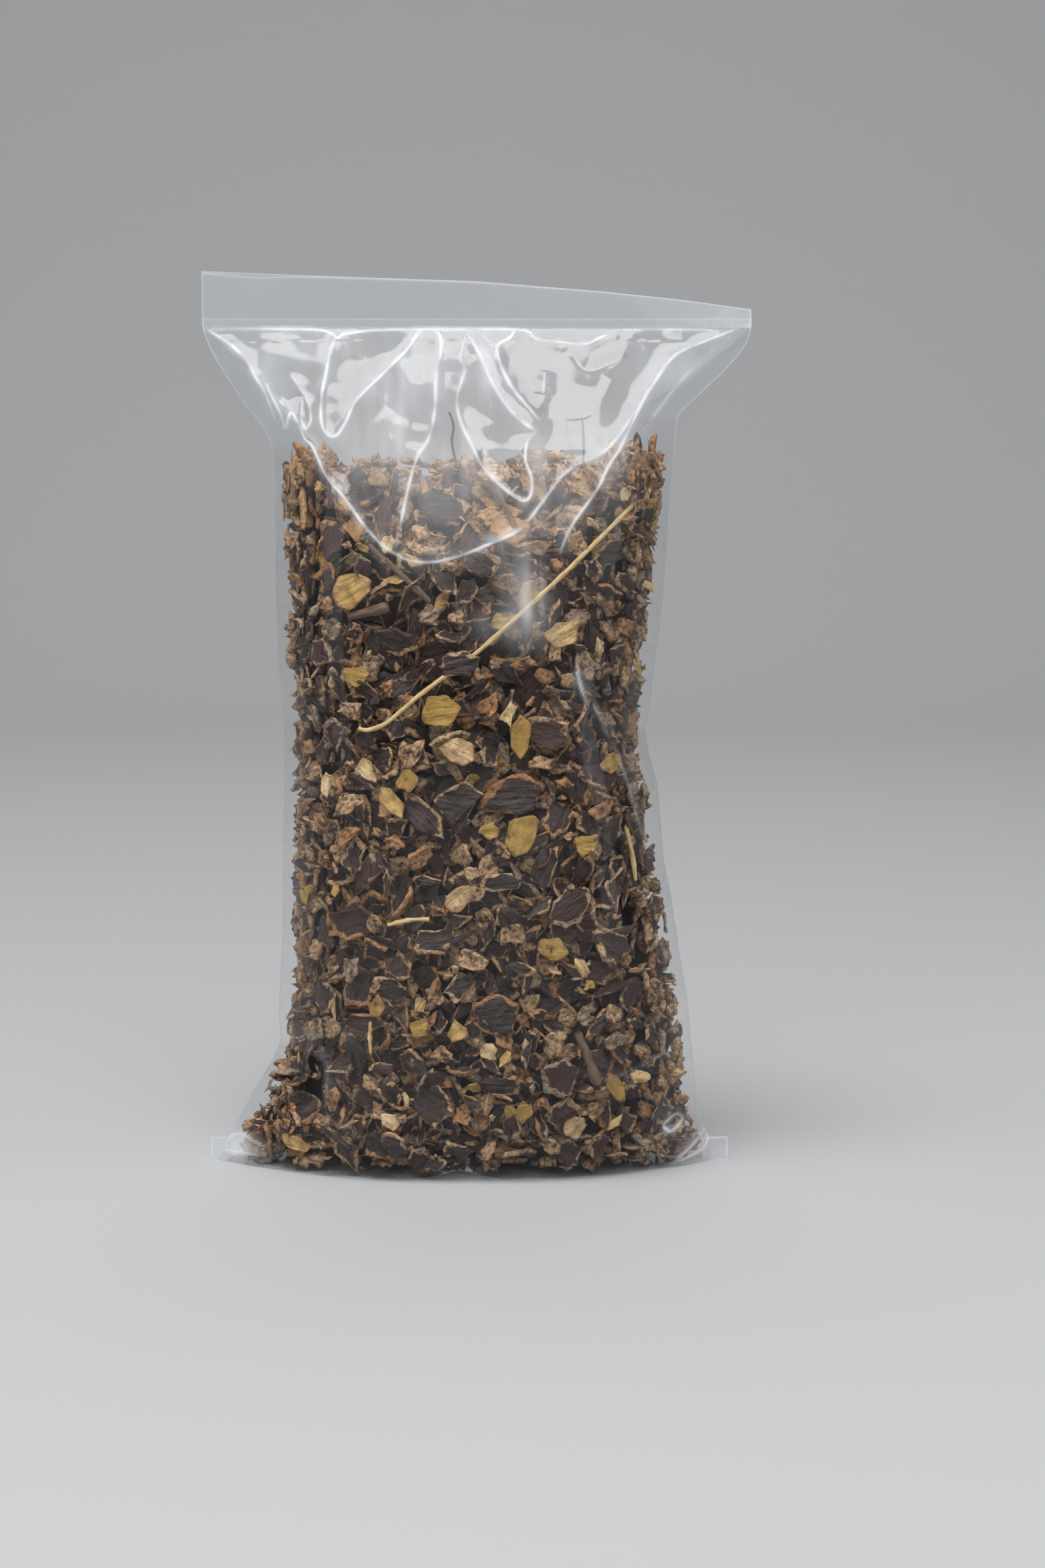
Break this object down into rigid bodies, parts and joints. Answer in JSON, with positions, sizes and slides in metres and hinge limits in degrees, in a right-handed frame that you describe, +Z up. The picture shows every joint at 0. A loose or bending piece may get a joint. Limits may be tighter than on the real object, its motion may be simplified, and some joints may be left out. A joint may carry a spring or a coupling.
{
  "type": "bag of kibbled carob pod",
  "caption": "Clear heat-sealed film bag standing upright, filled with dark broken pieces of carob pod, pale flakes, a long straw and a few twigs.",
  "frame": {"origin": "on the ground, under the middle of the bag's box", "axes": "+Z up, from the bottom weld to the open header; +X across the width, to the right as seen from the front; +Y from the front to the back"},
  "size_m": [0.13, 0.0574, 0.2142],
  "materials": {
    "film": "clear thin film, glossy",
    "husk": "dry dark pod skin, satin, with torn tan edges",
    "flake": "dry, matt, yellow to olive",
    "straw": "dry straw, satin",
    "twig": "dry bark, matt"
  },
  "bodies": {
    "root": {"bag_film": "film", "pod_kibble": "husk", "flake_01": "flake", "flake_02": "flake", "flake_03": "flake", "flake_04": "flake", "flake_05": "flake", "flake_06": "flake", "flake_07": "flake", "flake_08": "flake", "flake_09": "flake", "flake_10": "flake", "flake_11": "flake", "flake_12": "flake", "flake_13": "flake", "flake_14": "flake", "flake_15": "flake", "flake_16": "flake", "flake_17": "flake", "flake_18": "flake", "flake_19": "flake", "flake_20": "flake", "flake_21": "flake", "flake_22": "flake", "long_straw": "straw", "straw_low_left": "straw", "straw_middle_left": "straw", "straw_right": "straw", "stalk_upper_left": "twig", "stalk_upper_middle": "twig", "twig_left": "twig", "twig_low_right": "twig"}
  },
  "joints": []
}
